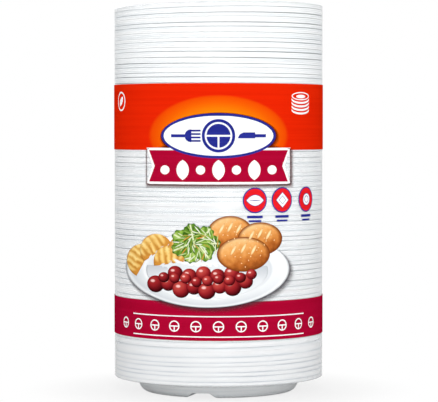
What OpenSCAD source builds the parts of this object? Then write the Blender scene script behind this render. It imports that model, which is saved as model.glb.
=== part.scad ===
// Stack of two hundred white foam compartment plates in a clear printed film sleeve.
// Units are millimetres. +Z is up, and the origin is on the floor under the middle of the stack.
// The front, with the printed label, faces -Y.

/* [Plate] */
// Radius of a plate over its rim
rim_r = 130; // [126:1:134]
// Height from the foot to the underside of the rim
rim_z = 19.2; // [18:0.2:24]
// Thickness of the foam, measured upright so that equal plates nest
foam_t = 2.05; // [1.7:0.05:2.1]
// Radius of the flat foot
foot_r = 88; // [84:1:91]
// Width of the rounded corner between foot and wall
foot_round = 9.4; // [8:0.2:10.4]
// Height of the rounded corner between foot and wall
foot_round_h = 5; // [4:0.2:6]
// Width that the wall takes up between its corners
wall_w = 5; // [4:0.2:7]
// Height that the wall rises between its corners
wall_h = 9; // [8:0.2:10]
// Width of the rim's flat outer edge
lip_w = 4.5; // [3:0.5:6]
// Bevel on the edge of the rim
lip_bevel = 0.2; // [0.15:0.05:0.5]

/* [Dividers] */
// Height of the dividers above the floor of the plate
divider_h = 6.6; // [4:0.2:7.6]
// Half width of a divider's top at the middle of the plate
divider_half = 5; // [3:0.5:8]
// Half angle by which a divider widens towards the wall
divider_flare = 3.8; // [0:0.2:4.6]
// Width of a divider's sloping side
divider_slope = 8; // [5:0.2:9]
// Azimuth of the divider that shows under the front, clockwise negative
front_divider_az = -13; // [-30:1:30]
// Angle that the large compartment spans
large_span = 150; // [120:5:170]

/* [Stack] */
// Mean distance from one plate to the next
plate_pitch = 2.308; // [2.25:0.002:2.6]
// Smallest gap between two plates
gap_min = 0.04; // [0.02:0.01:0.06]
// How many plates on average cling together between two wide gaps
clinging = 2.6; // [2:0.1:4]
// Share of the loose space that goes into the wide gaps, for one part in the tight ones
wide_share = 12; // [4:1:20]
// Tilt of the top plate, right side up
top_tilt = 1.1; // [0:0.1:1.5]

/* [Film] */
// Thickness of the clear film
film_t = 0.3; // [0.2:0.05:0.5]
// Clearance between the rims and the film
film_fit = 0.25; // [0.15:0.05:0.5]
// How far the film folds in over the top rim and under the bottom one
film_fold = 12; // [8:1:14]
// Clearance between the film and the printed colour
ink_fit = 0.2; // [0.1:0.05:0.4]
// Thickness of a layer of printed colour
ink_t = 0.2; // [0.15:0.05:0.3]
// Clearance between a layer of colour and one printed over it
layer_fit = 0.1; // [0.05:0.05:0.2]

/* [Print] */
// Lower edge of the orange band
orange_z = 302.9; // [290:0.1:310]
// Height of the orange band
orange_h = 80.1; // [70:0.1:85]
// Lower edge of the crimson band
crimson_z = 74; // [60:0.2:90]
// Height of the crimson band
crimson_h = 46.7; // [40:0.1:50]
// Width of the label's ribbon
ribbon_w = 168; // [150:1:180]
// Height of the label's ribbon
ribbon_h = 38; // [30:1:44]
// Half width of the oval on the label
oval_rx = 66; // [56:1:72]
// Half height of the oval on the label
oval_rz = 24; // [20:1:28]
// Half width of the amber glow behind the label
glow_rx = 86; // [78:1:94]
// Half height of the amber glow behind the label
glow_rz = 50; // [40:1:56]
// Radius of the three round marks
mark_r = 15.4; // [12:0.2:17]
// Half width of the tray in the picture
tray_rx = 100; // [86:1:103]
// Half height of the tray in the picture
tray_rz = 45; // [34:1:47]

/* [Hidden] */
$fn = 96;
plates = 200;
group = 12;

// Corner points of the plate's lower face, from the foot out to the rim
corner_r = foot_r + foot_round;
shoulder_r = corner_r + wall_w;
shoulder_z = foot_round_h + wall_h;
flange_r = shoulder_r + 6;
flange_z = shoulder_z + (rim_z - shoulder_z) * 0.7;

// The plates inside the stack have plain corners, and the two that show have rounded ones
function lower_face(fine) = concat(
    [[0, 0], [foot_r, 0]],
    fine ? [
        [foot_r + foot_round * 0.46, foot_round_h * 0.16],
        [foot_r + foot_round * 0.78, foot_round_h * 0.5],
    ] : [],
    [[corner_r, foot_round_h], [shoulder_r, shoulder_z]],
    fine ? [[shoulder_r + 2.5, shoulder_z + (flange_z - shoulder_z) * 0.6]] : [],
    [[flange_r, flange_z], [rim_r - lip_w, rim_z]]
);

function raised(points, h) = [for (p = points) [p[0], p[1] + h]];

// Uneven gaps between the plates, which add up to the same height whatever their spread
chance = rands(0, 1, plates - 1, 41);
function is_wide(k) = floor((k + 1) / clinging) > floor(k / clinging);
loose = [for (k = [1 : plates - 1]) (is_wide(k) ? wide_share : 1) * (0.6 + 0.8 * chance[k - 1])];
turn = rands(-1, 1, plates * 2, 7);
function total(v, i = 0, s = 0) = i >= len(v) ? s : total(v, i + 1, s + v[i]);
loose_sum = total(loose);
spare = (plates - 1) * (plate_pitch - foam_t - gap_min);
function gap(k) = gap_min + spare * loose[k - 1] / loose_sum;

// Slow lean of the rims up the stack, with a little unevenness from plate to plate
function bump(k, mid, wide) = exp(-pow((k - mid) / wide, 2));
function wanted_y(k) = -0.75 * bump(k, 14, 10) + 0.4 * bump(k, 165, 9)
    - top_tilt * bump(k, plates + 2, 14) + 0.16 * turn[k - 1] * (1 - bump(k, plates, 12));
function wanted_x(k) = 0.35 * sin(k * 3.1) * (1 - bump(k, 1, 12)) + 0.16 * turn[plates + k - 1];

// Each plate turns towards the lean it is given no further than its gap to the last one allows
function reach(k) = 0.6 * (gap(k) - gap_min) / rim_r * 180 / PI;
function step_to(from, to, most) =
    norm(to - from) <= most ? to : from + (to - from) * most / norm(to - from);
function walk(k, z, lean) = k > plates ? [] : concat(
    [[z, lean]],
    k == plates ? [] : walk(
        k + 1,
        z + foam_t + gap(k),
        step_to(lean, [wanted_x(k + 1), wanted_y(k + 1)], reach(k))
    )
);
places = walk(1, 0, [0, 0]);
top_place = places[plates - 1];
top_z = top_place[0] + rim_z + foam_t;

film_in = rim_r + film_fit;
film_out = film_in + film_t;
ink_in = film_out + ink_fit;

// Colours
foam_c = [0.95, 0.96, 0.96];
film_c = [0.93, 0.96, 0.98, 0.22];
orange_c = [0.93, 0.15, 0.03];
amber_c = [0.96, 0.42, 0.02];
crimson_c = [0.69, 0.04, 0.2];
white_c = [0.97, 0.97, 0.97];
blue_c = [0.1, 0.2, 0.55];
red_c = [0.85, 0.1, 0.12];
tray_c = [0.84, 0.86, 0.88];
crust_c = [0.72, 0.42, 0.16];
leaf_c = [0.36, 0.55, 0.16];
berry_c = [0.42, 0.07, 0.08];
wedge_c = [0.9, 0.74, 0.4];

// Solid under the dividers' upper face, one side at a time
module divider_side(fine) {
    top = foam_t + divider_h;
    foot = divider_half + divider_slope;
    rotate([90, 0, 90])
        linear_extrude(height = corner_r + wall_w * 0.5)
            polygon(concat(
                [[-60, -4], [-60, top]],
                fine ? [
                    [divider_half - 1.2, top],
                    [divider_half + 0.4, top - 0.7],
                    [foot - 1.6, foam_t + 1.1],
                    [foot + 1.6, foam_t - 0.3],
                    [foot + 1.6, -4],
                ] : [
                    [divider_half, top],
                    [foot + 0.6, foam_t - 0.6],
                    [foot + 0.6, -4],
                ]
            ));
}

module divider(az, fine) {
    rotate([0, 0, az - 90])
        intersection() {
            rotate([0, 0, divider_flare])
                divider_side(fine);
            mirror([0, 1, 0])
                rotate([0, 0, divider_flare])
                    divider_side(fine);
        }
}

module dividers(fine) {
    small_span = (360 - large_span) / 2;
    divider(front_divider_az, fine);
    divider(front_divider_az + large_span, fine);
    divider(front_divider_az - small_span, fine);
}

// Solid under the upper face of a plate, out to the edge of its rim
module upper_solid(fine) {
    rotate_extrude()
        polygon(concat(
            [[0, -4]],
            raised(lower_face(fine), foam_t),
            fine ? [
                [rim_r - 1.6, rim_z + foam_t - 0.5],
                [rim_r, rim_z + foam_t - 1.3],
                [rim_r, -4],
            ] : [
                [rim_r - lip_bevel, rim_z + foam_t],
                [rim_r, rim_z + foam_t - lip_bevel],
                [rim_r, -4],
            ]
        ));
    dividers(fine);
}

// Solid under the lower face of a plate, past the edge of its rim
module lower_solid(fine) {
    rotate_extrude()
        polygon(concat(
            [[0, -9]],
            lower_face(fine),
            [
                [rim_r - lip_bevel, rim_z],
                [rim_r + 1, rim_z + lip_bevel + 1],
                [rim_r + 6, rim_z + lip_bevel + 1],
                [rim_r + 6, -9],
            ]
        ));
    translate([0, 0, -foam_t])
        dividers(fine);
}

module plate(fine_top = false, fine_foot = false) {
    difference() {
        upper_solid(fine_top);
        lower_solid(fine_foot);
    }
}

// A plate turns about the middle of its rim, so the stack's side stays straight
module plate_no(k, fine_top = false, fine_foot = false) {
    at = places[k - 1];
    mid = rim_z + foam_t / 2;
    translate([0, 0, at[0] + mid])
        rotate([at[1][0], at[1][1], 0])
            translate([0, 0, -mid])
                plate(fine_top, fine_foot);
}

module plate_group(first) {
    color(foam_c)
        for (k = [first : group : plates - 1])
            plate_no(k);
}

module plate_bottom() {
    color(foam_c)
        plate_no(1, fine_foot = true);
}

module plate_top() {
    color(foam_c)
        plate_no(plates, fine_top = true);
}

// Solid inside the film's face that lies a given distance in from its outside
module film_body(in) {
    away = film_fit + film_t - in;
    intersection() {
        rotate_extrude()
            polygon([
                [0, flange_z - away],
                [flange_r, flange_z - away],
                [rim_r - lip_w, rim_z - away],
                [rim_r - 0.6, rim_z - away],
                [rim_r + away, rim_z + 0.6],
                [rim_r + away, top_z + 20],
                [0, top_z + 20],
            ]);
        at_top_plate()
            rotate_extrude()
                polygon([
                    [0, -top_z - 40],
                    [0, rim_z + foam_t + away],
                    [rim_r - lip_w, rim_z + foam_t + away],
                    [rim_r - 1.5, rim_z + foam_t + away - 0.5],
                    [rim_r + 3, rim_z + foam_t + away - 3.2],
                    [rim_r + 30, rim_z - 20],
                    [rim_r + 30, -top_z - 40],
                ]);
    }
}

module at_top_plate() {
    mid = rim_z + foam_t / 2;
    translate([0, 0, top_place[0] + mid])
        rotate([top_place[1][0], top_place[1][1], 0])
            translate([0, 0, -mid])
                children();
}

module film_sleeve() {
    color(film_c)
        difference() {
            film_body(0);
            film_body(film_t);
            translate([0, 0, -1])
                cylinder(h = top_z + 60, r = rim_r - film_fold);
        }
}

// Outlines of the print, seen from the front
function oval(rx, rz, n = 48) = [for (i = [0 : n - 1]) [rx * cos(i * 360 / n), rz * sin(i * 360 / n)]];

ribbon_z = 283.6;
oval_z = 320;
ribbon_edge = 3;
oval_edge = 3.2;
tray_x = -14;
tray_z = 159;

module ribbon(grow) {
    w = ribbon_w / 2 + grow;
    h = ribbon_h / 2 + grow;
    translate([0, ribbon_z])
        polygon([
            [-w, -h], [w, -h], [w - 7, 0], [w, h],
            [-w, h], [-w + 7, 0],
        ]);
}

module label_oval(grow) {
    translate([0, oval_z])
        polygon(oval(oval_rx + grow, oval_rz + grow));
}

// A leaf is where two circles overlap
module leaf(len, fat) {
    off = (len * len - fat * fat) / (4 * fat);
    intersection() {
        translate([0, off])
            circle(r = off + fat / 2);
        translate([0, -off])
            circle(r = off + fat / 2);
    }
}

module ribbon_marks() {
    for (i = [-3 : 3])
        translate([i * 21.5, ribbon_z - 4.6])
            if (i % 2 == 0)
                rotate(90)
                    leaf(24, 15);
            else
                circle(r = 5.5);
}

// Bars between one large and two small compartments
module plate_bars(len, thick) {
    translate([-len, -thick / 2])
        square([len * 2, thick]);
    translate([-thick / 2, -len])
        square([thick, len]);
}

// Plain plate with a fork and a knife beside it
module label_icon() {
    translate([0, oval_z]) {
        difference() {
            circle(r = 20);
            difference() {
                circle(r = 16.5);
                circle(r = 14.3);
            }
            plate_bars(14.4, 2.2);
        }
        translate([-57, -1.8])
            square([18, 3.6]);
        intersection() {
            translate([-33, 0])
                circle(r = 7.6);
            translate([-42, -8])
                square([9.5, 16]);
        }
        for (i = [0 : 3])
            translate([-33, -7.2 + i * 4.1])
                square([11.5, 2.1]);
        polygon([[23, -3], [44, -3], [44, 4], [30, 4], [25.5, 1.8]]);
        translate([43, -1.9])
            square([14, 3.8]);
    }
}

module label_area() {
    ribbon(ribbon_edge);
    label_oval(oval_edge);
}

module tray_area() {
    translate([tray_x, tray_z])
        polygon(oval(tray_rx, tray_rz, 72));
}

// Food in the picture, each kind in its own colour
module rolls() {
    for (p = [[14, 204, 27, 20], [50, 196, 27, 20], [30, 178, 32, 21]])
        translate([p[0], p[1]])
            polygon(oval(p[2], p[3], 36));
}

module wedges() {
    for (i = [0 : 3])
        translate([-92 + i * 17, 168 + (i % 2) * 13])
            rotate(62 - i * 26)
                intersection() {
                    circle(r = 21);
                    translate([-22, -2])
                        square([44, 24]);
                }
}

module leaves() {
    for (i = [0 : 6])
        translate([-28 + 15 * cos(i * 51), 191 + 9 * sin(i * 51)])
            rotate(i * 51)
                polygon(oval(15, 11, 36));
}

module berries() {
    for (i = [0 : 7])
        translate([-76 + i * 15.5, 141 - 7 * sin(i * 26) + (i % 2) * 4])
            circle(r = i % 2 == 0 ? 10.5 : 9);
    for (i = [0 : 4])
        translate([-52 + i * 17, 155 - (i % 2) * 3])
            circle(r = 9);
}

// Small plates in a row on the crimson band, with a thin line above and below
row_z = crimson_z + 17;
row_step = 12;

module small_plate() {
    difference() {
        circle(r = 6.8);
        difference() {
            circle(r = 5.4);
            plate_bars(6, 1.4);
        }
    }
}

module thin_lines() {
    for (z = [crimson_z + 4, crimson_z + 28.5])
        translate([-104, z])
            square([208, 1.3]);
}

module small_plates_on_film() {
    for (i = [-5 : 5])
        intersection() {
            ring(row_z - 8, 16, 2);
            rotate([0, 0, i * row_step])
                from_front()
                    translate([0, row_z])
                        small_plate();
        }
}

mark_z = 242.5;
mark_az = [19.6, 36.1, 54.9];

module mark_shape(i) {
    translate([0, mark_z]) {
        if (i == 0)
            leaf(22, 13);
        if (i == 1)
            rotate(45)
                square(13, center = true);
        if (i == 2)
            circle(r = 7);
    }
}

// Rings and cut-outs of printed colour on the film, layer 1 or the one over it, with the seam behind
module ring(z, h, layer = 1) {
    rotate([0, 0, 90])
        rotate_extrude()
            translate([ink_in + (layer - 1) * (ink_t + layer_fit), z])
                square([ink_t, h]);
}

module from_front() {
    rotate([90, 0, 0])
        linear_extrude(height = 160)
            children();
}

module on_film(z, h, layer = 1) {
    intersection() {
        ring(z, h, layer);
        from_front()
            children();
    }
}

module marks_on_film(layer = 1) {
    for (i = [0 : 2])
        intersection() {
            ring(mark_z - 34, 56, layer);
            rotate([0, 0, mark_az[i]])
                from_front() {
                    $i = i;
                    children();
                }
        }
}

module print_orange() {
    color(orange_c)
        difference() {
            ring(orange_z, orange_h);
            from_front() {
                glow();
                label_area();
            }
        }
}

module glow() {
    intersection() {
        translate([0, oval_z])
            polygon(oval(glow_rx, glow_rz, 60));
        translate([-glow_rx - 10, orange_z - 1])
            square([glow_rx * 2 + 20, orange_h - 6]);
    }
}

module print_amber() {
    color(amber_c)
        on_film(orange_z, orange_h)
            difference() {
                glow();
                label_area();
            }
}

module print_crimson() {
    color(crimson_c) {
        difference() {
            ring(crimson_z, crimson_h);
            from_front()
                tray_area();
        }
        on_film(ribbon_z - 30, 60)
            difference() {
                ribbon(0);
                label_oval(oval_edge);
            }
    }
}

module print_white() {
    color(white_c) {
        on_film(ribbon_z - 30, 90) {
            difference() {
                ribbon(ribbon_edge);
                ribbon(0);
                label_oval(oval_edge);
            }
            label_oval(0);
        }
        on_film(ribbon_z - 30, 60, 2)
            ribbon_marks();
        on_film(crimson_z, crimson_h, 2)
            difference() {
                thin_lines();
                tray_area();
            }
        small_plates_on_film();
        marks_on_film(2)
            mark_shape($i);
    }
}

module print_blue() {
    color(blue_c) {
        on_film(oval_z - 40, 80)
            difference() {
                label_oval(oval_edge);
                label_oval(0);
            }
        on_film(oval_z - 40, 80, 2)
            label_icon();
        marks_on_film() {
            translate([0, mark_z])
                difference() {
                    circle(r = mark_r);
                    circle(r = mark_r - 1.4);
                }
            translate([-10, mark_z - mark_r - 6])
                square([20, 3]);
            translate([-8, mark_z - mark_r - 10.5])
                square([16, 2]);
        }
    }
}

module print_red() {
    color(red_c)
        marks_on_film()
            translate([0, mark_z])
                circle(r = mark_r - 1.4);
}

// The tray is in the first layer, and the food lies over it in the second
module picture(layer = 2) {
    on_film(tray_z - tray_rz - 8, tray_rz * 2 + 40, layer)
        children();
}

module print_tray() {
    color(tray_c)
        picture(1)
            tray_area();
}

module print_crust() {
    color(crust_c)
        picture()
            difference() {
                rolls();
                berries();
            }
}

module print_leaf() {
    color(leaf_c)
        picture()
            difference() {
                leaves();
                rolls();
                wedges();
                berries();
            }
}

module print_berry() {
    color(berry_c)
        picture()
            berries();
}

module print_wedge() {
    color(wedge_c)
        picture()
            difference() {
                wedges();
                rolls();
                berries();
            }
}

plate_bottom();
plate_group(2);  // plates_a
plate_group(3);  // plates_b
plate_group(4);  // plates_c
plate_group(5);  // plates_d
plate_group(6);  // plates_e
plate_group(7);  // plates_f
plate_group(8);  // plates_g
plate_group(9);  // plates_h
plate_group(10);  // plates_i
plate_group(11);  // plates_j
plate_group(12);  // plates_k
plate_group(13);  // plates_l
plate_top();
film_sleeve();
print_orange();
print_amber();
print_crimson();
print_white();
print_blue();
print_red();
print_tray();
print_crust();
print_leaf();
print_berry();
print_wedge();
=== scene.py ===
# %% [markdown]
# # A stack of foam compartment plates in a printed film sleeve
#
# The real thing is two hundred white foam plates, nested into each other and held together by one
# clear shrink film with a colourful print. The solid model already has the right sizes, so this
# lesson adds what a solid model can't: the look of foam, of thin clear film and of printed ink.

# %% Load the solid model and keep its size
import math

import bpy
import numpy as np
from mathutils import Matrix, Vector, noise


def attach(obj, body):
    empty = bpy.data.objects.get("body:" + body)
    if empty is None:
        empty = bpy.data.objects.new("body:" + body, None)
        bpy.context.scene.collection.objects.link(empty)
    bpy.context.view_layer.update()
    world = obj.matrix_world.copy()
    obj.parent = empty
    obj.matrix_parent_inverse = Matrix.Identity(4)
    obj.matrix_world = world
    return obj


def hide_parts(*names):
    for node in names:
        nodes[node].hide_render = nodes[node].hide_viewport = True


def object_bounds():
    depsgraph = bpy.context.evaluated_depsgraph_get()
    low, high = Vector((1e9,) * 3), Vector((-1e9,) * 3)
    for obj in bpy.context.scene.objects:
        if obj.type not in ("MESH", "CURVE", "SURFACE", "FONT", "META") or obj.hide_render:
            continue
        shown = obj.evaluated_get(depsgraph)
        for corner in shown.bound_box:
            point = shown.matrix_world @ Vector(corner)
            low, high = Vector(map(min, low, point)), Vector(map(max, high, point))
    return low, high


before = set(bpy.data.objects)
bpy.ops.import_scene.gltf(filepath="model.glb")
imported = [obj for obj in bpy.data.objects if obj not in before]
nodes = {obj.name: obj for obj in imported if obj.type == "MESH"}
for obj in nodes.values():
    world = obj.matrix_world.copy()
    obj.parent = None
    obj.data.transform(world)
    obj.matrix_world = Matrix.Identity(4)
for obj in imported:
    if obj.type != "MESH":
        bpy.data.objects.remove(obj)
solid_low, solid_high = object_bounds()
print("solid model, metres:", [round(b - a, 4) for a, b in zip(solid_low, solid_high)])

# %% [markdown]
# ## Where the camera stands
#
# The rims curve only a little more low down than at eye level, which tells how far away the camera
# was: about ten plate diameters. A long lens from there keeps the sides of the stack upright. The
# eye is level with the orange band, so the camera looks down by only two degrees.

# %% Camera
MM = 0.001
IMAGE_WIDTH, IMAGE_HEIGHT = 438, 402
camera_distance = 2680 * MM
eye_height = 326.9 * MM
focal_pixels = 2132
eye_row = 130
axis_column = 218.5


def aim_point():
    """The point of the stack's axis plane that lies in the middle of the image."""
    metres_per_pixel = camera_distance / focal_pixels
    across = (IMAGE_WIDTH / 2 - axis_column) * metres_per_pixel
    down = (IMAGE_HEIGHT / 2 - eye_row) * metres_per_pixel
    return Vector((across, 0, eye_height - down))


camera_data = bpy.data.cameras.new("camera")
camera_data.sensor_width = 36
camera_data.lens = focal_pixels / IMAGE_WIDTH * camera_data.sensor_width
camera = bpy.data.objects.new("camera", camera_data)
camera.location = (0, -camera_distance, eye_height)
camera.rotation_euler = (aim_point() - camera.location).to_track_quat("-Z", "Y").to_euler()
bpy.context.scene.collection.objects.link(camera)
bpy.context.scene.camera = camera
print("camera lens:", round(camera_data.lens, 1), "mm")

# %% [markdown]
# ## Helpers for finishes
#
# Every finish is a small node tree. These helpers start one, read a place on the object, and turn
# numbers into colours, so that each finish further down fits in a few lines.

# %% Helpers for finishes


def paint_value(red, green, blue):
    """A colour as a paint program writes it, 0 to 255, turned into light."""
    def light(v):
        v = v / 255
        return v / 12.92 if v <= 0.04045 else ((v + 0.055) / 1.055) ** 2.4
    return (light(red), light(green), light(blue), 1)


def new_finish(name, roughness, shine):
    """A material with its node tree and main shader; shine is how strongly it mirrors."""
    mat = bpy.data.materials.new(name)
    mat.use_nodes = True
    tree = mat.node_tree
    shader = tree.nodes["Principled BSDF"]
    shader.inputs["Roughness"].default_value = roughness
    shader.inputs["Specular IOR Level"].default_value = shine
    return mat, tree, shader


def place_on_object(tree, stretch=(1, 1, 1), origin=(0, 0, 0)):
    """Object coordinates in metres from the origin given, multiplied by the stretch."""
    coords = tree.nodes.new("ShaderNodeTexCoord")
    moved = tree.nodes.new("ShaderNodeVectorMath")
    moved.operation = "SUBTRACT"
    moved.inputs[1].default_value = origin
    tree.links.new(coords.outputs["Object"], moved.inputs[0])
    scaled = tree.nodes.new("ShaderNodeVectorMath")
    scaled.operation = "MULTIPLY"
    scaled.inputs[1].default_value = stretch
    tree.links.new(moved.outputs["Vector"], scaled.inputs[0])
    return scaled.outputs["Vector"]


def own_place(tree):
    """The three numbers that mesh_piece, further down, keeps at each point of a mesh."""
    node = tree.nodes.new("ShaderNodeAttribute")
    node.attribute_name = "own"
    return node.outputs["Vector"]


def parts_of(tree, vector):
    split = tree.nodes.new("ShaderNodeSeparateXYZ")
    tree.links.new(vector, split.inputs[0])
    return split.outputs["X"], split.outputs["Y"], split.outputs["Z"]


def calc(tree, operation, first, second=None, third=None):
    """A Math node; each of its inputs is a number or a node's output."""
    node = tree.nodes.new("ShaderNodeMath")
    node.operation = operation
    for socket, value in zip(node.inputs, (first, second, third)):
        if value is None:
            continue
        if isinstance(value, (int, float)):
            socket.default_value = value
        else:
            tree.links.new(value, socket)
    return node.outputs[0]


def weighted_sum(tree, start, *pairs):
    """A number, plus each value times its weight."""
    total = start
    for value, weight in pairs:
        total = calc(tree, "MULTIPLY_ADD", value, weight, total)
    return total


def length_of(tree, vector):
    node = tree.nodes.new("ShaderNodeVectorMath")
    node.operation = "LENGTH"
    tree.links.new(vector, node.inputs[0])
    return node.outputs["Value"]


def distance_of(tree, along, across):
    """How far a place lies from the middle, from its two shares along and across a shape."""
    join = tree.nodes.new("ShaderNodeCombineXYZ")
    tree.links.new(along, join.inputs["X"])
    tree.links.new(across, join.inputs["Y"])
    return length_of(tree, join.outputs["Vector"])


def noise_at(tree, place, scale, detail):
    grain = tree.nodes.new("ShaderNodeTexNoise")
    grain.inputs["Scale"].default_value = scale
    grain.inputs["Detail"].default_value = detail
    tree.links.new(place, grain.inputs["Vector"])
    return grain.outputs["Fac"]


def colours_along(tree, value, stops):
    """Turns a value from 0 to 1 into colour; stops are (position, colour) pairs."""
    ramp = tree.nodes.new("ShaderNodeValToRGB")
    while len(ramp.color_ramp.elements) < len(stops):
        ramp.color_ramp.elements.new(0.5)
    for element, (position, colour) in zip(ramp.color_ramp.elements, stops):
        element.position = position
        element.color = paint_value(*colour)
    tree.links.new(value, ramp.inputs["Fac"])
    return ramp.outputs["Color"]


def blend_colours(tree, share, first, second):
    """Mixes two colours, each a node's output or three paint values."""
    node = tree.nodes.new("ShaderNodeMix")
    node.data_type = "RGBA"
    for socket, value in ((node.inputs[0], share), (node.inputs[6], first), (node.inputs[7], second)):
        if isinstance(value, (int, float)):
            socket.default_value = value
        elif isinstance(value, tuple):
            socket.default_value = paint_value(*value)
        else:
            tree.links.new(value, socket)
    return node.outputs[2]


def ramp_to(tree, value, low, high, at_low=0.0, at_high=1.0):
    """A smooth step of the value between low and high."""
    node = tree.nodes.new("ShaderNodeMapRange")
    node.interpolation_type = "SMOOTHSTEP"
    node.inputs["From Min"].default_value = low
    node.inputs["From Max"].default_value = high
    node.inputs["To Min"].default_value = at_low
    node.inputs["To Max"].default_value = at_high
    tree.links.new(value, node.inputs["Value"])
    return node.outputs["Result"]


def mix_surfaces(tree, share, first, second, output):
    """Mixes two shader nodes, as what the named output node shows."""
    mix = tree.nodes.new("ShaderNodeMixShader")
    tree.links.new(share, mix.inputs["Fac"])
    tree.links.new(first.outputs[0], mix.inputs[1])
    tree.links.new(second.outputs[0], mix.inputs[2])
    tree.links.new(mix.outputs[0], tree.nodes[output].inputs["Surface"])


def set_colour(tree, shader, colour):
    tree.links.new(colour, shader.inputs["Base Color"])


def add_bump(tree, shader, height, strength, distance):
    bump = tree.nodes.new("ShaderNodeBump")
    bump.inputs["Strength"].default_value = strength
    bump.inputs["Distance"].default_value = distance
    tree.links.new(height, bump.inputs["Height"])
    tree.links.new(bump.outputs["Normal"], shader.inputs["Normal"])


def give_finish(piece, finish):
    piece.data.materials.clear()
    piece.data.materials.append(finish)


# %% [markdown]
# ## A floor that looks white and still takes a shadow
#
# A studio picture has no horizon. The world is white to the camera and to mirror-like rays, but it
# lights the object only gently. The floor is real paint near the stack, so that it can take the
# shadow, and turns into plain white for the camera further out. The share of each is painted by the
# place on the floor, so it stays the same from every side.

# %% World and floor
ambient_strength = 0.3
floor_albedo = 0.62
white_near_stack = 0.8
white_begins, white_full = 0.12, 0.26


def ray_is_seen(tree):
    """1 for rays that show the background: camera, mirror and see-through rays."""
    path = tree.nodes.new("ShaderNodeLightPath")
    seen = calc(tree, "MAXIMUM", path.outputs["Is Camera Ray"], path.outputs["Is Glossy Ray"])
    return calc(tree, "MAXIMUM", seen, path.outputs["Is Transmission Ray"])


def white_world():
    world = bpy.data.worlds.new("studio")
    world.use_nodes = True
    tree = world.node_tree
    seen = tree.nodes["Background"]
    seen.inputs["Color"].default_value = (1, 1, 1, 1)
    seen.inputs["Strength"].default_value = 1.0
    light = tree.nodes.new("ShaderNodeBackground")
    light.inputs["Color"].default_value = (0.97, 0.985, 1, 1)
    light.inputs["Strength"].default_value = ambient_strength
    mix_surfaces(tree, ray_is_seen(tree), light, seen, "World Output")
    bpy.context.scene.world = world


def white_floor():
    bpy.ops.mesh.primitive_plane_add(size=40, location=(0, 0, 0))
    floor = bpy.context.active_object
    floor.name = "floor"
    paint, tree, matte = new_finish("floor_paint", 1.0, 0.0)
    matte.inputs["Base Color"].default_value = (floor_albedo, floor_albedo, floor_albedo, 1)
    glow = tree.nodes.new("ShaderNodeEmission")
    glow.inputs["Strength"].default_value = 1.0
    from_axis = length_of(tree, place_on_object(tree))
    whiteness = ramp_to(tree, from_axis, white_begins, white_full, white_near_stack, 1.0)
    share = calc(tree, "MULTIPLY", ray_is_seen(tree), whiteness)
    mix_surfaces(tree, share, matte, glow, "Material Output")
    floor.data.materials.append(paint)


white_world()
white_floor()
print("world and floor are white to the camera")

# %% [markdown]
# ## Light
#
# In the photograph the stack stays evenly bright far round to its sides and then darkens quickly at
# the very edge. One lamp in front can't do that: its light fades all the way round. So a soft front
# lamp shares the work with one on each side, three quarters of the way round to the edge, and the
# world itself stays dim. A weak lamp near the floor brightens the foot under the rims, and others above
# and behind keep the other views readable.

# %% Lamps


def soft_lamp(name, place, target, size, power):
    data = bpy.data.lights.new(name, "AREA")
    data.shape = "DISK"
    data.size = size
    data.energy = power
    lamp = bpy.data.objects.new(name, data)
    lamp.location = place
    lamp.rotation_euler = (Vector(target) - Vector(place)).to_track_quat("-Z", "Y").to_euler()
    bpy.context.scene.collection.objects.link(lamp)


middle = (solid_low + solid_high) / 2
foot_place = (0, 0, 0.02)
soft_lamp("front_lamp", (0.1, -2.6, 1.45), middle, 1.1, 36.5)
soft_lamp("low_lamp", (0.25, -1.9, 0.22), foot_place, 0.5, 7.5)
soft_lamp("left_lamp", (-2.15, -0.7, 1.5), middle, 1.0, 22)
soft_lamp("right_lamp", (2.15, -0.7, 1.5), middle, 1.0, 20)
soft_lamp("top_lamp", (0.2, 0.1, 2.6), middle, 1.2, 1)
soft_lamp("back_lamp", (-0.6, 2.4, 1.3), middle, 1.4, 23)
print("six soft lamps")

# %% [markdown]
# ## Foam
#
# Pressed foam is matte and nearly white. Its skin has faint cells about a millimetre wide, and no two
# plates are quite the same white, so a pattern that is long round the stack and short up it changes
# the tone a little from rim to rim.

# %% Foam finish


def foam_finish():
    mat, tree, shader = new_finish("foam", 0.75, 0.3)
    layers = noise_at(tree, place_on_object(tree, (5, 5, 300)), 1.0, 2.0)
    tone = colours_along(tree, layers, [
        (0.30, (234, 238, 240)),
        (0.55, (245, 247, 248)),
        (0.75, (249, 250, 250)),
    ])
    set_colour(tree, shader, tone)
    cells = tree.nodes.new("ShaderNodeTexVoronoi")
    cells.inputs["Scale"].default_value = 800
    tree.links.new(place_on_object(tree), cells.inputs["Vector"])
    add_bump(tree, shader, cells.outputs["Distance"], 0.22, 0.0003)
    return mat


foam = foam_finish()
plate_names = sorted(n for n in nodes if n.startswith("plate"))
for name in plate_names:
    give_finish(nodes[name], foam)
print("foam on", len(plate_names), "nodes of plates")

# %% [markdown]
# ## Where the rims are
#
# The film clings to the rims and hangs a little slack over each wider gap between them, so the sleeve
# has to know where every rim lies. The plates' own meshes tell: the points furthest from the axis
# belong to the rims, a node's plates lie far enough apart to sort them by height, and a plane through
# the points of one rim gives its height and its lean.

# %% A plane through every rim
RIM_RADIUS = 130.0


def rim_planes(mesh):
    """Height at the axis and rise per millimetre of x and y, for each plate of a mesh."""
    points = np.empty(len(mesh.vertices) * 3)
    mesh.vertices.foreach_get("co", points)
    points = points.reshape(-1, 3) / MM
    rim = points[np.hypot(points[:, 0], points[:, 1]) > RIM_RADIUS - 0.6]
    rim = rim[np.argsort(rim[:, 2])]
    breaks = np.where(np.diff(rim[:, 2]) > 8)[0] + 1
    planes = []
    for part in np.split(rim, breaks):
        table = np.column_stack([np.ones(len(part)), part[:, 0], part[:, 1]])
        planes.append(tuple(np.linalg.lstsq(table, part[:, 2], rcond=None)[0]))
    return planes


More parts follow.
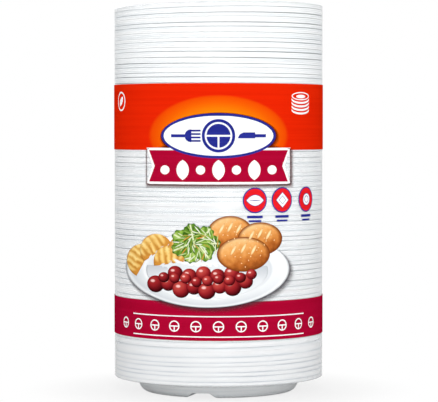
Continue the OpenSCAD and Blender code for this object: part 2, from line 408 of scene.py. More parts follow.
planes = sorted(plane for name in plate_names for plane in rim_planes(nodes[name].data))
steps = [upper[0] - lower[0] for lower, upper in zip(planes, planes[1:])]
print(len(planes), "rims,", round(sum(steps) / len(steps), 3), "mm apart on average")

# %% [markdown]
# ## Clear film
#
# The film is a few hundredths of a millimetre thick and pulled tight, so what shows is the foam behind
# it, a little milkier, and soft shine. Real glass shading would bend the light and darken the foam, so
# the finish is a glossy skin that lets most light straight through. The solid model has a smooth
# sleeve. Here a finer one takes its place: its rows of points follow the rims, and dip in by a tenth
# of a millimetre at each wide gap. Each point also keeps how firmly the film lies on the foam there,
# from 0 over a gap to 1 on a rim, so that the finish can paint shade into the film where it hangs
# slack over a gap and keep it white where it touches.

# %% The side of the sleeve
FILM_RADIUS = RIM_RADIUS + 0.42
film_thickness = 0.08
wide_step = 2.45
film_dip = 0.14
side_columns = 144
# a share of the way up each ridge and how firmly the film touches there, which sets both its dip and its
# painted shade
ridge_shares = ((0.0, 0.0), (0.2, 0.7), (0.5, 1.0), (0.8, 0.7))


def between(low, high, share):
    return tuple(a + (b - a) * share for a, b in zip(low, high))


def side_rows():
    """Planes from the lowest rim up to the highest, each with how firmly the film touches there."""
    first, last = planes[0], planes[-1]
    gaps = [between(lower, upper, 0.5) for lower, upper in zip(planes, planes[1:])
            if upper[0] - lower[0] > wide_step]
    edges = [(first[0] - 0.45, first[1], first[2])] + gaps + [(last[0] - 0.2, last[1], last[2])]
    rows = []
    for low, high in zip(edges, edges[1:]):
        rows += [(between(low, high, share), touch) for share, touch in ridge_shares]
    return rows + [(edges[-1], 1.0)]


def mesh_piece(name, points, faces, own, thickness, offset):
    """A piece with three numbers kept at each point, thickened by millimetres."""
    mesh = bpy.data.meshes.new(name)
    mesh.from_pydata(points, [], faces)
    kept = mesh.attributes.new("own", "FLOAT_VECTOR", "POINT")
    kept.data.foreach_set("vector", [number for three in own for number in three])
    mesh.shade_smooth()
    piece = bpy.data.objects.new(name, mesh)
    bpy.context.scene.collection.objects.link(piece)
    layer = piece.modifiers.new("thickness", "SOLIDIFY")
    layer.thickness = thickness * MM
    layer.offset = offset
    return piece


def film_grid(name, columns, own, closed=True):
    """Film from columns of points, side by side or all round, with how firmly it touches at each."""
    height = len(columns[0])
    faces = []
    for number in range(len(columns) if closed else len(columns) - 1):
        here, there = number * height, (number + 1) % len(columns) * height
        faces += [(here + i, there + i, there + i + 1, here + i + 1) for i in range(height - 1)]
    points = [point for column in columns for point in column]
    return mesh_piece(name, points, faces, [(touch, 0, 0) for touch in own], film_thickness, 0)


def film_side():
    rows = side_rows()
    columns, own = [], []
    for number in range(side_columns):
        angle = 2 * math.pi * number / side_columns
        across, along = math.cos(angle), math.sin(angle)
        column = []
        for (height, rise_x, rise_y), touch in rows:
            slack = 0.5 + 0.9 * noise.noise(Vector((across * 3, along * 3, height / 9)))
            pull = min(max(touch + slack * (1 - touch) * 0.5, 0), 1)
            radius = FILM_RADIUS - film_dip * (1 - pull)
            z = height + radius * (across * rise_x + along * rise_y)
            column.append((radius * across * MM, radius * along * MM, z * MM))
            own.append(pull)
        columns.append(column)
    return film_grid("film_side", columns, own)


# %% [markdown]
# ## Gathered ends of the film
#
# Where the sleeve shrinks in over the first and the last rim it has too much width for the smaller
# circle, so it gathers into small pleats, and its open edge is wavy. The same grid, with many more
# columns and moved up and down towards its open edge, gives the pleats as real shape.

# %% The folds over the first and the last rim
fold_columns = 720
fold_rows = 8
fold_begins, free_edge = 125.5, 118.8
over_rim, least_over_rim = 1.42, 1.2
round_upper_rim = [(FILM_RADIUS, -0.2), (129.95, 0.55), (128.6, 1.08)]
round_lower_rim = [(FILM_RADIUS, -0.45), (129.95, -1.12), (129.4, -over_rim)]
pleat_height, fold_sag = 0.42, 1.05
fold_touch = 0.8


def gather(angle, seed):
    """Pleats round an open edge, from about -1 to 1, sharper at their crests than in between."""
    waves = noise.noise(Vector((math.cos(angle) * 19, math.sin(angle) * 19, seed)))
    swing = 7 * noise.noise(Vector((math.cos(angle) * 3, math.sin(angle) * 3, seed)))
    return 0.55 * (1 - 2 * abs(math.sin(angle * 61 + swing)) ** 0.6) + 0.9 * waves


def film_fold(name, plane, sign, seed):
    """The fold over one end; sign is 1 for the upper end and -1 for the lower one."""
    columns, own = [], []
    for number in range(fold_columns):
        angle = 2 * math.pi * number / fold_columns
        across, along = math.cos(angle), math.sin(angle)
        edge = free_edge + 1.2 * noise.noise(Vector((across * 4, along * 4, seed)))
        line = list(round_upper_rim if sign > 0 else round_lower_rim)
        for step in range(fold_rows + 1):
            free = step / fold_rows
            pleat = pleat_height * gather(angle, seed)
            if sign > 0:
                lift = max(over_rim + free * (pleat - 0.1), least_over_rim)
            else:
                lift = -over_rim - free * (fold_sag - pleat)
            line.append((fold_begins + (edge - fold_begins) * free, lift))
        columns.append([])
        for radius, lift in line:
            z = plane[0] + lift + radius * (across * plane[1] + along * plane[2])
            columns[-1].append((radius * across * MM, radius * along * MM, z * MM))
            own.append(fold_touch)
    return film_grid(name, columns, own)


# %% [markdown]
# ## The seam at the back
#
# A sleeve starts as a flat web, which is wrapped round the stack and sealed where its two edges lap.
# The seal runs up the back as a narrow strip of double film, a little puckered by the heat. Its tone
# is painted shade that greys the film where the puckers dip in.

# %% The seam of the sleeve
seam_width, seam_radius = 14, 130.6
seam_low, seam_high = 22, 474
seam_columns, seam_rows = 9, 300


def film_seam():
    columns, own = [], []
    for number in range(seam_columns):
        share = number / (seam_columns - 1)
        column = []
        for row in range(seam_rows + 1):
            z = seam_low + (seam_high - seam_low) * row / seam_rows
            pucker = noise.noise(Vector((share * 3, 5, z / 4)))
            edge_wave = 0.5 * noise.noise(Vector((share * 2, 9, z / 30)))
            radius = seam_radius + 0.06 * pucker * math.sin(math.pi * share)
            angle = math.radians(90) + ((share - 0.5) * seam_width + edge_wave) / seam_radius
            column.append((radius * math.cos(angle) * MM, radius * math.sin(angle) * MM, z * MM))
            # the pucker also sets the seam's painted shade: greyer where it dips in
            own.append(0.85 + 0.3 * pucker)
        columns.append(column)
    return film_grid("film_seam", columns, own, closed=False)


# %% [markdown]
# ## The finish of the film
#
# How much of the foam the film hides is its cover. The photograph shows soft lines low down, where
# the film is milkier, and crisp ones near the top, so the cover falls from the foot to the top in two
# smooth steps. Its colour follows the touch that each point keeps: painted shade, greyer where the
# film hangs over a gap and white where it touches. Long thin waves lie along it.

# %% Film finish
low_film_cover, film_cover, high_film_cover, seam_cover = 0.42, 0.27, 0.15, 0.1
low_step, high_step = (0.045, 0.085), (0.36, 0.40)


def film_finish(name, low_cover, middle_cover, high_cover):
    mat, tree, shader = new_finish(name, 0.25, 0.4)
    touch = parts_of(tree, own_place(tree))[0]
    # painted shade: the film is greyer where it hangs slack over a gap and white where it touches a rim
    milk_and_gap_shade = colours_along(tree, touch, [
        (0.0, (214, 220, 226)), (0.55, (242, 245, 247)), (1.0, (253, 253, 253)),
    ])
    set_colour(tree, shader, milk_and_gap_shade)
    height = parts_of(tree, place_on_object(tree))[2]
    low_part = ramp_to(tree, height, *low_step, low_cover, middle_cover)
    high_part = ramp_to(tree, height, *high_step, 0.0, high_cover - middle_cover)
    tree.links.new(calc(tree, "ADD", low_part, high_part), shader.inputs["Alpha"])
    pull = noise_at(tree, place_on_object(tree, (4, 4, 260)), 1.0, 2.0)
    add_bump(tree, shader, pull, 0.3, 0.0006)
    return mat


film = film_finish("film", low_film_cover, film_cover, high_film_cover)
film_twice = film_finish("film_twice", seam_cover, seam_cover, seam_cover)
film_pieces = [
    film_side(),
    film_fold("film_top_fold", planes[-1], 1, 8),
    film_fold("film_bottom_fold", planes[0], -1, 3),
    film_seam(),
]
for piece in film_pieces:
    give_finish(piece, film_twice if piece.name == "film_seam" else film)
    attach(piece, "root")
    print(piece.name + ":", len(piece.data.polygons), "faces")
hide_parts("film_sleeve")

# %% [markdown]
# ## Ink in large areas
#
# The print is ink on film. It mirrors nothing here, because the white room would wash its colours
# out. The rims behind it press faint ridges into the film, and their shade is painted into the ink
# as level lines of two close tones. The bands and the label keep their solids from the model. Only
# the amber glow behind the label needs more than one tone, from yellow in the middle to the band's
# own orange at its edge.

# %% Ink finishes
ink_shine, ink_roughness = 0.0, 0.5
GLOW_SIZE, GLOW_Z = (86, 50), 320


def rim_shade_lines(tree, light_colour, dark_colour):
    """Painted shade of the film's ridges: two close tones in lines round the sleeve, as long and as
    close together as the rims.
    """
    lines = noise_at(tree, place_on_object(tree, (4, 4, 300)), 1.0, 2.0)
    return colours_along(tree, lines, [(0.35, dark_colour), (0.6, light_colour)])


def ink_finish(name, light_colour, dark_colour):
    mat, tree, shader = new_finish(name, ink_roughness, ink_shine)
    set_colour(tree, shader, rim_shade_lines(tree, light_colour, dark_colour))
    return mat


def drawn_ink(name):
    """An ink for drawn shapes, with the three numbers that each point of a shape keeps."""
    mat, tree, shader = new_finish(name, ink_roughness, ink_shine)
    return mat, tree, shader, parts_of(tree, own_place(tree))


def glow_finish():
    mat, tree, shader = new_finish("ink_amber", ink_roughness, ink_shine)
    shares = (1 / (GLOW_SIZE[0] * MM), 0, 1 / (GLOW_SIZE[1] * MM))
    from_middle = length_of(tree, place_on_object(tree, shares, (0, 0, GLOW_Z * MM)))
    glow = colours_along(tree, from_middle, [
        (0.30, (242, 164, 18)),
        (0.60, (236, 124, 8)),
        (0.80, (229, 92, 5)),
        (0.96, (224, 66, 4)),
    ])
    band = rim_shade_lines(tree, *ink_colours["print_orange"])
    at_edge = ramp_to(tree, from_middle, 0.93, 1.0)
    set_colour(tree, shader, blend_colours(tree, at_edge, glow, band))
    return mat


ink_colours = {
    "print_orange": ((222, 37, 5), (217, 33, 4)),
    "print_crimson": ((168, 9, 49), (162, 7, 45)),
    "print_white": ((250, 250, 250), (243, 245, 246)),
    "print_blue": ((42, 48, 140), (36, 42, 130)),
    "print_red": ((226, 32, 38), (218, 28, 34)),
}
for name, (light_rgb, dark_rgb) in ink_colours.items():
    give_finish(nodes[name], ink_finish(name.replace("print", "ink"), light_rgb, dark_rgb))
give_finish(nodes["print_amber"], glow_finish())
print("inks:", len(ink_colours) + 1)

# %% [markdown]
# ## Drawing on the sleeve
#
# The picture is printed flat and then curved round the stack. The simplest way to draw it is the same:
# a shape is a closed line of points seen straight from the front, and a helper fills it with rings of
# small faces and bends them onto the sleeve. Each point also keeps its place inside its own shape,
# from -1 to 1, under the name "own", so that one finish can shade every berry or leaf from its middle
# to its edge. A hair of thickness makes each sheet a real layer. What is printed over something else
# gets a greater lift, in millimetres outside INK_RADIUS, so that it lies on top.

# %% Helpers for drawing on the sleeve
INK_RADIUS = 130.75
sheet_thickness = 0.03
BADGE_LIFT, SHADOW_LIFT, TRAY_LIFT, WELL_LIFT = 0.25, 0.255, 0.29, 0.33
WEDGE_LIFT, LEAF_LIFT, SHRED_LIFT, LINE_LIFT = 0.345, 0.38, 0.44, 0.55
BACK_LIFT, FRONT_LIFT, TOP_LIFT = 0.345, 0.385, 0.455


def on_sleeve(x, z, lift, turn=0.0):
    """The place on the sleeve of a point seen from the front, all in millimetres and degrees."""
    radius = INK_RADIUS + lift
    angle = math.asin(x / radius) + math.radians(turn)
    return Vector((radius * math.sin(angle), -radius * math.cos(angle), z)) * MM


def leaned(points, centre, lean):
    """Points round (0, 0), turned by an angle in degrees and moved to a centre."""
    spin = math.radians(lean)
    return [(centre[0] + x * math.cos(spin) - z * math.sin(spin),
             centre[1] + x * math.sin(spin) + z * math.cos(spin)) for x, z in points]


def oval(centre, size, lean=0.0, count=32):
    angles = [2 * math.pi * i / count for i in range(count)]
    return leaned([(size[0] * math.cos(a), size[1] * math.sin(a)) for a in angles], centre, lean)


def line_between(inner, outer, share):
    """The line at a share of the way from one outline to another."""
    return [(x0 + (x1 - x0) * share, z0 + (z1 - z0) * share)
            for (x0, z0), (x1, z1) in zip(inner, outer)]


def rounded(points, times):
    """Cuts every corner of a closed line again and again, until it is round."""
    for _ in range(times):
        cut = []
        for (x0, z0), (x1, z1) in zip(points, points[1:] + points[:1]):
            cut += [(0.75 * x0 + 0.25 * x1, 0.75 * z0 + 0.25 * z1),
                    (0.25 * x0 + 0.75 * x1, 0.25 * z0 + 0.75 * z1)]
        points = cut
    return points


def shape(outline, centre, size, lean=0.0, lift=0.0, rings=6, tone=0.5, inner=None, closed=True):
    """A filled shape; with an inner outline of as many points it is a band, which may be open."""
    return {"outline": outline, "centre": centre, "size": size, "lean": math.radians(lean),
            "lift": lift, "rings": rings, "tone": tone, "inner": inner, "closed": closed}


def own_numbers(one, x, z):
    """Place of a point inside its shape, from -1 to 1 along and across it, and the shape's tone."""
    dx, dz = x - one["centre"][0], z - one["centre"][1]
    along = dx * math.cos(one["lean"]) + dz * math.sin(one["lean"])
    across = -dx * math.sin(one["lean"]) + dz * math.cos(one["lean"])
    return (along / one["size"][0], across / one["size"][1], one["tone"])


def print_sheet(name, shapes, finish, turn=0.0):
    """One piece that holds all of the shapes, bent onto the sleeve."""
    points, faces, own = [], [], []

    def add(one, x, z):
        points.append(on_sleeve(x, z, one["lift"], turn))
        own.append(own_numbers(one, x, z))

    for one in shapes:
        outline, count, start = one["outline"], len(one["outline"]), len(points)
        inner = one["inner"] or [one["centre"]] * count
        if one["inner"] is None:
            add(one, *one["centre"])
            first = 1
        else:
            first = 0
        for ring in range(first, one["rings"] + 1):
            for x, z in line_between(inner, outline, ring / one["rings"]):
                add(one, x, z)
        base = start + first
        if first:
            faces += [(start, base + i, base + (i + 1) % count) for i in range(count)]
        for ring in range(one["rings"] - first):
            low, high = base + ring * count, base + (ring + 1) * count
            for i in range(count if one["closed"] else count - 1):
                j = (i + 1) % count
                faces.append((low + i, high + i, high + j, low + j))
    piece = mesh_piece(name, points, faces, own, sheet_thickness, -1)
    give_finish(piece, finish)
    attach(piece, "root")
    print(name + ":", len(shapes), "shapes,", len(faces), "faces")
    return piece


# %% [markdown]
# ## The printed plate
#
# The picture shows a compartment plate like the ones in the pack, seen from above the table: an oval
# with a raised rim, and three wells with rounded corners. Its shading is all in rings round the
# middle. Towards the upper right the rim is light and the wall inside it dark, and towards the lower
# left it is the other way round.

# %% Printed plate and its wells
tray_middle = (-14, 159)
tray_size = (100, 45)
well_drop = 1.5


def in_tray(angle, share):
    """A point a little below the printed plate's rim, at an angle and a share of its radius."""
    return (tray_middle[0] + tray_size[0] * share * math.cos(angle),
            tray_middle[1] + tray_size[1] * share * math.sin(angle) - well_drop)


def well(from_angle, to_angle, near, far):
    """A well between two angles and two shares of the radius, in degrees, with round corners."""
    turns = [math.radians(from_angle + (to_angle - from_angle) * i / 10) for i in range(11)]
    outer = [in_tray(t, far) for t in turns]
    halfway = math.radians((from_angle + to_angle) / 2)
    return rounded(outer + [in_tray(halfway, near)], 3)


def tray_finish():
    mat, tree, shader, (along, across, _) = drawn_ink("ink_tray")
    radius = distance_of(tree, along, across)
    lit = colours_along(tree, radius, [
        (0.70, (222, 226, 229)), (0.775, (212, 216, 220)), (0.80, (236, 239, 240)),
        (0.93, (242, 244, 245)), (0.975, (250, 251, 251)), (1.0, (196, 200, 204)),
    ])
    shade = colours_along(tree, radius, [
        (0.70, (222, 226, 229)), (0.76, (246, 247, 248)), (0.80, (224, 228, 230)),
        (0.92, (206, 210, 214)), (0.97, (234, 237, 238)), (1.0, (172, 176, 181)),
    ])
    side = ramp_to(tree, weighted_sum(tree, 0.0, (along, 0.5), (across, 0.8)), -0.7, 0.6)
    set_colour(tree, shader, blend_colours(tree, side, shade, lit))
    return mat


def well_finish():
    mat, tree, shader, (along, across, _) = drawn_ink("ink_wells")
    radius = distance_of(tree, along, across)
    height = calc(tree, "MULTIPLY_ADD", across, 0.5, 0.5)
    wall = colours_along(tree, height, [
        (0.0, (250, 251, 251)), (0.5, (226, 229, 232)), (1.0, (190, 194, 199)),
    ])
    bottom = colours_along(tree, height, [(0.0, (232, 235, 237)), (1.0, (214, 218, 222))])
    at_wall = ramp_to(tree, radius, 0.62, 0.86)
    set_colour(tree, shader, blend_colours(tree, at_wall, bottom, wall))
    return mat


tray = print_sheet("printed_plate", [
    shape(oval(tray_middle, tray_size, count=240), tray_middle, tray_size, lift=TRAY_LIFT, rings=30),
], tray_finish())
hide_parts("print_tray")
well_spans = [(28, 152, 0.05, 0.74), (166, 262, 0.08, 0.74), (276, 374, 0.08, 0.74)]
wells = []
for from_angle, to_angle, near, far in well_spans:
    outline = well(from_angle, to_angle, near, far)
    xs, zs = [p[0] for p in outline], [p[1] for p in outline]
    middle_point = ((min(xs) + max(xs)) / 2, (min(zs) + max(zs)) / 2)
    half = ((max(xs) - min(xs)) / 2, (max(zs) - min(zs)) / 2)
    wells.append(shape(outline, middle_point, half, lift=WELL_LIFT, rings=16))
print_sheet("printed_wells", wells, well_finish())

# %% [markdown]
# ## Soft shadows in the print
#
# The picture was cut out and laid over the film's design, so the plate and the label each throw a soft
# printed shadow. It is a band round the outline whose ink thins out to nothing at its outer edge.

# %% Printed shadows
shadow_rings = 8


def shadow_finish(name, colour, strength):
    mat, tree, shader, (_, _, tone) = drawn_ink(name)
    shader.inputs["Base Color"].default_value = paint_value(*colour)
    cover = calc(tree, "MULTIPLY", calc(tree, "POWER", tone, 1.6), strength)
    tree.links.new(cover, shader.inputs["Alpha"])
    return mat


def shadow_band(name, inner, outer, finish):
    """A band between two outlines, whose tone falls from nearly 1 inside to nearly 0 outside."""
    shapes = []
    for ring in range(shadow_rings):
        near, far = ring / shadow_rings, (ring + 1) / shadow_rings
        shapes.append(shape(line_between(inner, outer, far), (0, 0), (100, 100), lift=SHADOW_LIFT,
                            rings=1, tone=1 - (near + far) / 2, inner=line_between(inner, outer, near)))
    return print_sheet(name, shapes, finish)


under_plate = shadow_finish("ink_plate_shadow", (70, 60, 70), 0.62)
plate_edge = oval(tray_middle, (tray_size[0] - 1.5, tray_size[1] - 1.5), count=240)
shadow_middle = (tray_middle[0] + 4, tray_middle[1] - 5)
shadow_edge = oval(shadow_middle, (tray_size[0] + 3, tray_size[1] + 3), count=240)
shadow_band("printed_plate_shadow", plate_edge, shadow_edge, under_plate)

# %% [markdown]
# ## The label's outline
#
# The label is an oval over a ribbon. A line from its middle leaves whichever of the two reaches
# further, so the outline of both together is the greater of two distances at every angle.

# %% Outline of the label
label_middle = (0, 300)
oval_centre, oval_half = (0, 320), (69.2, 27.2)
ribbon_centre, ribbon_half = (0, 283.6), (87, 22)


def ray_to_oval(angle, centre, size):
    """Distance from the label's middle to an oval's edge at an angle."""
    dx, dz = math.cos(angle) / size[0], math.sin(angle) / size[1]
    ox, oz = (label_middle[0] - centre[0]) / size[0], (label_middle[1] - centre[1]) / size[1]
    a, b, c = dx * dx + dz * dz, ox * dx + oz * dz, ox * ox + oz * oz - 1
    return (-b + math.sqrt(b * b - a * c)) / a


def ray_to_box(angle, centre, size):
    across = abs(size[0] / math.cos(angle)) if abs(math.cos(angle)) > 1e-6 else 1e9
    rise = math.sin(angle)
    edge = size[1] + (centre[1] - label_middle[1]) * (1 if rise > 0 else -1)
    upward = edge / abs(rise) if abs(rise) > 1e-6 else 1e9
    return min(across, upward)


def label_outline(grow, count=240, shift=(0, 0)):
    points = []
    for i in range(count):
        angle = 2 * math.pi * (i + 0.5) / count
        reach = max(ray_to_oval(angle, oval_centre, [half + grow for half in oval_half]),
                    ray_to_box(angle, ribbon_centre, [half + grow for half in ribbon_half]))
        points.append((label_middle[0] + reach * math.cos(angle) + shift[0],
                       label_middle[1] + reach * math.sin(angle) + shift[1]))
    return points


under_label = shadow_finish("ink_label_shadow", (96, 8, 10), 0.6)
shadow_band("printed_label_shadow", label_outline(-0.2), label_outline(3.4, shift=(1.6, -2.2)),
            under_label)

# %% [markdown]
# ## Bread
#
# Three bread rolls lie in the upper right of the plate. A baked crust is dark at its base, golden on
# its shoulder and pale where the light falls, with a fine mottle of flour. Each roll is cut across
# the top, and the cuts have opened to paler crumb. Seeds are drawn as tiny ovals of their own.

# %% Bread rolls


def crust_finish():
    mat, tree, shader, (along, across, _) = drawn_ink("ink_crust")
    mottle = noise_at(tree, place_on_object(tree), 160, 4.0)
    light = weighted_sum(tree, 0.28, (across, 0.40), (along, -0.16), (mottle, 0.45))
    baked = colours_along(tree, light, [
        (0.08, (118, 58, 22)), (0.28, (178, 98, 40)), (0.48, (212, 136, 66)),
        (0.68, (230, 166, 96)), (0.95, (243, 200, 142)),
    ])
    radius = distance_of(tree, along, across)
    edge = blend_colours(tree, ramp_to(tree, radius, 0.80, 1.0), baked, (132, 66, 26))
    set_colour(tree, shader, edge)
    return mat


def crumb_finish():
    mat, tree, shader, (along, across, _) = drawn_ink("ink_crumb")
    radius = distance_of(tree, along, across)
    crumb = colours_along(tree, radius, [
        (0.2, (250, 224, 176)), (0.7, (240, 200, 140)), (1.0, (190, 118, 56)),
    ])
    set_colour(tree, shader, crumb)
    return mat


def lens_outline(centre, size, lean, count=20):
    """A leaf-like outline that ends in two points."""
    upper = [(-1 + 2 * i / count, 1 - (-1 + 2 * i / count) ** 2) for i in range(count)]
    lower = [(1 - 2 * i / count, -(1 - (1 - 2 * i / count) ** 2)) for i in range(count)]
    points = [(along * size[0], across * size[1]) for along, across in upper + lower]
    return leaned(points[::-1], centre, lean)


rolls = [((14, 204), (27, 20), 0.36), ((50, 196), (27, 20), 0.38), ((30, 178), (32, 21), 0.40)]
cut_half, seed_half = (7.6, 1.9), (1.15, 0.62)
bread, cuts, seeds = [], [], []
for number, (centre, size, lift) in enumerate(rolls):
    bread.append(shape(oval(centre, size, count=48), centre, size, lift=lift, rings=12))
    for i in (-1, 0, 1):
        at = (centre[0] + i * size[0] * 0.38, centre[1] + size[1] * (0.34 - 0.1 * abs(i)))
        cuts.append(shape(lens_outline(at, cut_half, 62), at, cut_half, 62, lift + 0.03, rings=4))
    for i in range(16):
        spin, share = i * 2.4, 0.2 + 0.66 * ((i * 7) % 16) / 16
        at = (centre[0] + size[0] * share * math.cos(spin),
              centre[1] + size[1] * share * math.sin(spin) + 1)
        seed_outline = oval(at, seed_half, i * 47, 8)
        seeds.append(shape(seed_outline, at, seed_half, i * 47, lift + 0.045, rings=1))
crust = print_sheet("printed_bread", bread, crust_finish())
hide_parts("print_crust")
print_sheet("printed_bread_cuts", cuts, crumb_finish())
print_sheet("printed_seeds", seeds, crumb_finish())

# %% [markdown]
# ## Salad
#
# Seven broad leaves lie in a heap, each with a pale rib, side veins and a ruffled edge. Thin
# shreds of pale cabbage, green and carrot are scattered over them. A leaf's finish reads the place
# along and across the leaf, so the veins always follow it, whichever way it points.

# %% Salad leaves and shreds


def leaf_finish():
    mat, tree, shader, (along, across, tone) = drawn_ink("ink_leaf")
    aside = calc(tree, "ABSOLUTE", across)
    vein = calc(tree, "SINE", weighted_sum(tree, 0.0, (along, 11.2), (aside, -7.0)))
    mottle = noise_at(tree, place_on_object(tree), 220, 3.0)
    light = weighted_sum(tree, 0.0, (tone, 0.4), (mottle, 0.55), (vein, 0.10))
    green = colours_along(tree, light, [
        (0.18, (52, 88, 26)), (0.42, (98, 140, 44)), (0.62, (146, 180, 72)), (0.85, (192, 212, 120)),
    ])
    rib = blend_colours(tree, ramp_to(tree, aside, 0.03, 0.14), (222, 230, 184), green)
    radius = distance_of(tree, along, across)
    edge = blend_colours(tree, ramp_to(tree, radius, 0.84, 1.0), rib, (60, 104, 30))
    set_colour(tree, shader, edge)
    return mat


def shred_finish():
    mat, tree, shader, (_, across, tone) = drawn_ink("ink_shreds")
    base = colours_along(tree, tone, [
        (0.0, (244, 246, 232)), (0.35, (226, 234, 196)), (0.6, (176, 204, 104)),
        (0.8, (122, 160, 58)), (1.0, (232, 142, 58)),
    ])
    edge = calc(tree, "MULTIPLY", calc(tree, "ABSOLUTE", across), 0.5)
    set_colour(tree, shader, blend_colours(tree, edge, base, (120, 130, 70)))
    return mat


def ruffled(points, centre, depth, waves):
    """Moves a closed line in and out from its middle, as the edge of a leaf does."""
    moved = []
    for i, (x, z) in enumerate(points):
        share = 1 + depth * math.sin(waves * 2 * math.pi * i / len(points))
        moved.append((centre[0] + (x - centre[0]) * share, centre[1] + (z - centre[1]) * share))
    return moved


leaf_half = (15.2, 11.2)
leaves, shreds = [], []
for i in range(7):
    spin = i * 51
    at = (-28 + 15 * math.cos(math.radians(spin)), 191 + 9 * math.sin(math.radians(spin)))
    outline = ruffled(oval(at, leaf_half, spin, 72), at, 0.055, 9 + i % 3)
    leaves.append(shape(outline, at, leaf_half, spin, LEAF_LIFT + (i * 3 % 7) * 0.008, rings=9,
                        tone=(i * 4 % 7) / 7))
for i in range(64):
    spin, share = i * 2.39996, math.sqrt((i + 0.5) / 64)
    at = (-26 + 27 * share * math.cos(spin), 190 + 19 * share * math.sin(spin))
    lean = (i * 67) % 180
    half = (4.5 + 3.5 * ((i * 13) % 7) / 7, 0.75)
    outline = lens_outline(at, half, lean, 10)
    shreds.append(shape(outline, at, half, lean, SHRED_LIFT + (i % 8) * 0.006, rings=2,
                        tone=((i * 29) % 64) / 64))
leaf_piece = print_sheet("printed_leaves", leaves, leaf_finish())
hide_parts("print_leaf")
print_sheet("printed_shreds", shreds, shred_finish())

# %% [markdown]
# ## Fried wedges
#
# The pale yellow pieces on the left are cut with a ridged blade, so light and dark stripes run along
# each one. The crust browns at its edge, and salt and pepper leave small dark specks.

# %% Ridged wedges


def wedge_finish():
    mat, tree, shader, (along, across, _) = drawn_ink("ink_wedge")
    wander = noise_at(tree, place_on_object(tree), 90, 2.0)
    ridge = calc(tree, "SINE", weighted_sum(tree, 0.0, (wander, 5.0), (along, 17.0)))
    light = weighted_sum(tree, 0.0, (across, 0.14), (wander, 0.5), (ridge, 0.17))
    gold = colours_along(tree, light, [
        (0.02, (196, 134, 56)), (0.22, (226, 178, 92)), (0.42, (242, 208, 130)), (0.62, (250, 228, 168)),
    ])
    radius = distance_of(tree, along, across)
    browned = blend_colours(tree, ramp_to(tree, radius, 0.78, 1.02), gold, (206, 140, 58))
    specks = tree.nodes.new("ShaderNodeTexVoronoi")
    specks.inputs["Scale"].default_value = 260
    tree.links.new(place_on_object(tree), specks.inputs["Vector"])
    speck = ramp_to(tree, specks.outputs["Distance"], 0.08, 0.16, 0.55, 0.0)
    set_colour(tree, shader, blend_colours(tree, speck, browned, (110, 62, 24)))
    return mat


def half_disc(centre, radius, lean, count=40):
    angles = [math.pi * i / count for i in range(count + 1)]
    points = [(radius * math.cos(a), radius * math.sin(a)) for a in angles]
    points += [(-radius, -2), (0, -2), (radius, -2)]
    return leaned(rounded(points, 1), centre, lean)


wedge_radius = 20.5
wedges = []
for i in range(4):
    at, lean = (-92 + i * 17, 168 + (i % 2) * 13), 62 - i * 26
    middle_of = (at[0] - 9 * math.sin(math.radians(lean)), at[1] + 9 * math.cos(math.radians(lean)))
    wedges.append(shape(half_disc(at, wedge_radius, lean), middle_of, (wedge_radius, 11.5), lean,
                        WEDGE_LIFT + i * 0.009, rings=8))
wedge_piece = print_sheet("printed_wedges", wedges, wedge_finish())
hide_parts("print_wedge")

# %% [markdown]
# ## Glazed berries
#
# The dark red heap at the front is made of round, glossy berries. Each is darkest at its lower edge
# and has a small pale highlight at its upper left. They overlap, so each lies a hair above the last.

# %% Berries


def berry_finish():
    mat, tree, shader, (along, across, tone) = drawn_ink("ink_berry")
    radius = distance_of(tree, along, across)
    rounding = calc(tree, "POWER", radius, 3.0)
    light = weighted_sum(tree, 0.62, (along, -0.22), (across, 0.30), (rounding, -0.42), (tone, 0.22))
    red = colours_along(tree, light, [
        (0.12, (52, 8, 12)), (0.42, (104, 18, 24)), (0.66, (150, 34, 38)), (0.95, (196, 76, 68)),
    ])
    from_glint = distance_of(tree, calc(tree, "ADD", along, 0.34),
                             weighted_sum(tree, -0.54, (across, 1.5)))
    shine = ramp_to(tree, from_glint, 0.12, 0.34, 0.85, 0.0)
    set_colour(tree, shader, blend_colours(tree, shine, red, (246, 206, 200)))
    return mat


def berry(at, size, lift, tone, rings=6):
    return shape(oval(at, size), at, size, lift=lift, rings=rings, tone=tone)


heap = []
for i in range(5):
    # the back row, furthest down in the heap
    at = (-52 + i * 17, 155 - (i % 2) * 3)
    heap.append(berry(at, (9.2, 8.8), BACK_LIFT + i * 0.008, (i * 2 % 5) / 5))
for i in range(8):
    # the front row, in an arc, large and small by turns
    at = (-76 + i * 15.5, 141 - 7 * math.sin(math.radians(i * 26)) + (i % 2) * 4)
    size = (10.5, 10.3) if i % 2 == 0 else (9, 8.8)
    heap.append(berry(at, size, FRONT_LIFT + i * 0.01, (i * 3 % 8) / 8))
for i in range(9):
    # the small ones on top, over the gaps between the rows
    at = (-66 + i * 13.2, 149.5 - 5 * math.sin(math.radians(i * 24)) + (i % 3) * 1.6)
    heap.append(berry(at, (6.6, 6.2), TOP_LIFT + (i % 2) * 0.012, (i * 4 % 9) / 9, rings=5))
berry_piece = print_sheet("printed_berries", heap, berry_finish())
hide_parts("print_berry")

# %% [markdown]
# ## Two small badges
#
# The orange band has a small white mark on each side of the label: a little stack of plates on the
# right, and a leaf in a ring on the left.

# %% Badges
badge_white = ink_finish("ink_badge_white", (250, 250, 250), (243, 245, 246))
stack_turn, stack_height, stack_size = 50, 368, (17, 5)
ring_turn, ring_middle = -66, (0, 362)


def ring_shape(centre, outer, inner, count=40):
    return shape(oval(centre, outer, count=count), centre, outer, lift=BADGE_LIFT, rings=2,
                 inner=oval(centre, inner, count=count))


def arc(half_width, drop, height, count=24):
    """The lower half of an oval seen as a line, from left to right."""
    angles = [math.pi * (1 + i / count) for i in range(count + 1)]
    return [(half_width * math.cos(a), height + drop * math.sin(a)) for a in angles]


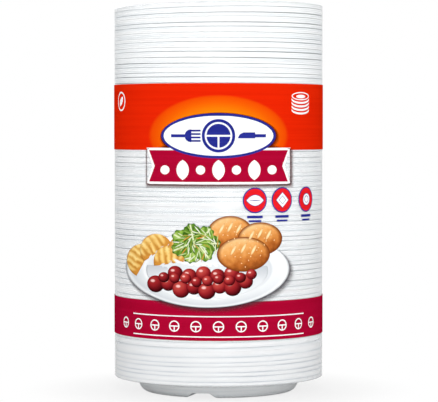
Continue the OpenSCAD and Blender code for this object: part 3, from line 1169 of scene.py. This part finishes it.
top_middle, well_middle = (0, stack_height), (0, stack_height - 0.4)
plate_marks = [ring_shape(top_middle, stack_size, (15.2, 3.7)),
               shape(oval(well_middle, (9, 2.2)), well_middle, (9, 2.2), lift=BADGE_LIFT, rings=3)]
for i in range(4):
    low = stack_height - 4.4 - i * 4.3
    plate_marks.append(shape(arc(*stack_size, low), (0, low), stack_size, lift=BADGE_LIFT, rings=2,
                             inner=arc(*stack_size, low + 2.4), closed=False))
print_sheet("badge_of_plates", plate_marks, badge_white, turn=stack_turn)
leaf_outline = lens_outline(ring_middle, (8, 3.6), 50)
leaf_mark = shape(leaf_outline, ring_middle, (8, 3.6), 50, BADGE_LIFT, rings=3)
ring_marks = [ring_shape(ring_middle, (12, 12), (10, 10)), leaf_mark]
print_sheet("badge_ring", ring_marks, badge_white, turn=ring_turn)

# %% [markdown]
# ## Lines in the three discs
#
# The white marks in the red discs are solids of the model. Fine blue lines finish them: an outline
# round each, a rib in the leaf, a fold in the napkin and the well of the plate.

# %% Lines in the discs
disc_turns = (19.6, 36.1, 54.9)
disc = (0, 242.5)
leaf_size, napkin_reach, plate_radius = (11, 6.5), 9.2, 7
line_blue = ink_finish("ink_line_blue", *ink_colours["print_blue"])


def disc_line(points, inner, outer):
    """A line between two sizes of an outline, both as shares of it."""
    return shape(line_between([disc] * len(points), points, outer), disc, (10, 10), lift=LINE_LIFT,
                 rings=1, inner=line_between([disc] * len(points), points, inner))


leaf_line = lens_outline(disc, leaf_size, 0)
leaf_rib = shape(lens_outline(disc, (8, 0.5), 0), disc, (8, 1), lift=LINE_LIFT, rings=1)
napkin_line = oval(disc, (napkin_reach, napkin_reach), count=4)
plate_line = oval(disc, (plate_radius, plate_radius))
disc_lines = [
    [disc_line(leaf_line, 0.98, 1.07), leaf_rib],
    [disc_line(napkin_line, 0.98, 1.07), disc_line(napkin_line, 0.50, 0.58)],
    [disc_line(plate_line, 0.98, 1.08), disc_line(plate_line, 0.52, 0.62)],
]
for number, (turn, lines) in enumerate(zip(disc_turns, disc_lines)):
    print_sheet("disc_lines_" + str(number), lines, line_blue, turn=turn)

# %% [markdown]
# ## How the colours are shown
#
# The colours show as they are written, through the standard view transform. Nothing that is added
# may make the object larger than its solids.

# %% Finish
bpy.context.scene.view_settings.view_transform = "Standard"
